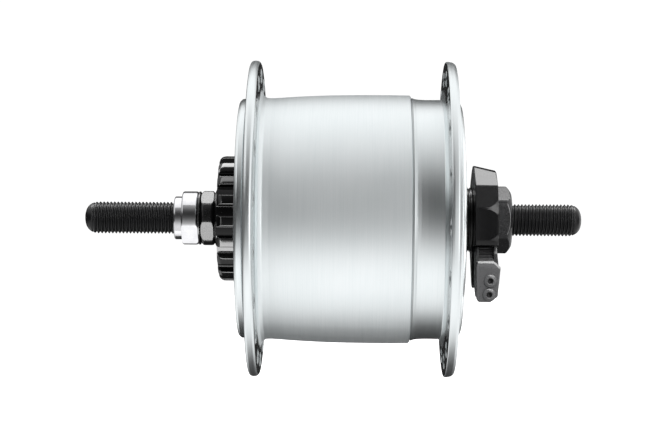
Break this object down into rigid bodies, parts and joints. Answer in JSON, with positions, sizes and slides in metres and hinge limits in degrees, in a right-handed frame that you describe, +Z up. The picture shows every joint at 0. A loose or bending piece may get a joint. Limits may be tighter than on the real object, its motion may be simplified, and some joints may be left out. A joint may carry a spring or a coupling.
{
  "type": "bicycle front hub dynamo",
  "caption": "Front bicycle hub with a built-in lighting generator, splined roller-brake seat, threaded axle and a pull-off two-wire plug.",
  "frame": {"origin": "wheel centre: the middle of the axle, on the axle line", "axes": "+Y along the axle towards the electrical terminal, +Z up, +X towards the side that the plug pulls off to"},
  "size_m": [0.0888, 0.14, 0.0888],
  "materials": {
    "ball_steel": "polished",
    "bearing_steel": "ground",
    "black_plastic": "moulded, semi gloss",
    "black_steel": "black oxide, semi gloss",
    "brass": "stamped",
    "bright_steel": "polished zinc plate",
    "cap_aluminium": "satin silver",
    "copper": "enamelled copper winding",
    "core_iron": "laminated electrical steel",
    "dark_grey_plastic": "moulded, satin",
    "ferrite": "sintered ferrite",
    "grey_plastic": "moulded, satin",
    "lead_insulation": "red insulation",
    "nylon": "natural nylon",
    "seal_rubber": "matte",
    "shell_aluminium": "satin silver anodised, fine turned lines"
  },
  "bodies": {
    "axle_assembly": {"axle": "black_steel", "brake_fixing_nut": "bright_steel", "left_washer": "black_steel", "left_locknut": "black_steel", "left_dust_cap": "black_steel", "left_cone": "bearing_steel", "right_cone": "bearing_steel", "right_collar": "black_steel", "terminal_housing": "black_plastic", "terminal_blade_live": "brass", "terminal_blade_earth": "brass", "right_locknut": "black_steel", "stator_core": "core_iron", "coil_bobbin": "nylon", "coil_winding": "copper", "left_claw_pole": "core_iron", "right_claw_pole": "core_iron", "stator_washer_left": "core_iron", "stator_nut_left": "bright_steel", "stator_washer_right": "core_iron", "stator_nut_right": "bright_steel", "lead_wire": "lead_insulation"},
    "hub": {"hub_shell": "shell_aluminium", "left_end_plate": "cap_aluminium", "brake_spline_ring": "black_steel", "right_end_cap": "cap_aluminium", "left_bearing_cup": "bearing_steel", "right_bearing_cup": "bearing_steel", "left_dust_seal": "seal_rubber", "right_dust_seal": "seal_rubber", "magnet_yoke": "core_iron", "magnet_segment_1": "ferrite", "magnet_segment_2": "ferrite", "magnet_segment_3": "ferrite", "magnet_segment_4": "ferrite"},
    "left_ball_set": {"left_ball_retainer": "bearing_steel", "left_ball_1": "ball_steel", "left_ball_2": "ball_steel", "left_ball_3": "ball_steel", "left_ball_4": "ball_steel", "left_ball_5": "ball_steel", "left_ball_6": "ball_steel", "left_ball_7": "ball_steel", "left_ball_8": "ball_steel", "left_ball_9": "ball_steel"},
    "right_ball_set": {"right_ball_retainer": "bearing_steel", "right_ball_1": "ball_steel", "right_ball_2": "ball_steel", "right_ball_3": "ball_steel", "right_ball_4": "ball_steel", "right_ball_5": "ball_steel", "right_ball_6": "ball_steel", "right_ball_7": "ball_steel", "right_ball_8": "ball_steel", "right_ball_9": "ball_steel"},
    "connector": {"connector_body": "dark_grey_plastic", "connector_cap": "grey_plastic"}
  },
  "joints": [
    {"name": "hub_spin", "type": "hinge", "parent": "axle_assembly", "child": "hub", "pos_m": [0, 0, 0], "axis": [0, 1, 0], "continuous": true},
    {"name": "left_balls_spin", "type": "hinge", "parent": "axle_assembly", "child": "left_ball_set", "pos_m": [0, -0.028, 0], "axis": [0, 1, 0], "continuous": true},
    {"name": "right_balls_spin", "type": "hinge", "parent": "axle_assembly", "child": "right_ball_set", "pos_m": [0, 0.0313, 0], "axis": [0, 1, 0], "continuous": true},
    {"name": "plug_pull", "type": "slide", "parent": "axle_assembly", "child": "connector", "axis": [1, 0, 0], "range_m": [0, 0.012]}
  ],
  "couplings": [
    {"joint": "left_balls_spin", "follows": "hub_spin", "ratio": 0.6},
    {"joint": "right_balls_spin", "follows": "hub_spin", "ratio": 0.6}
  ]
}
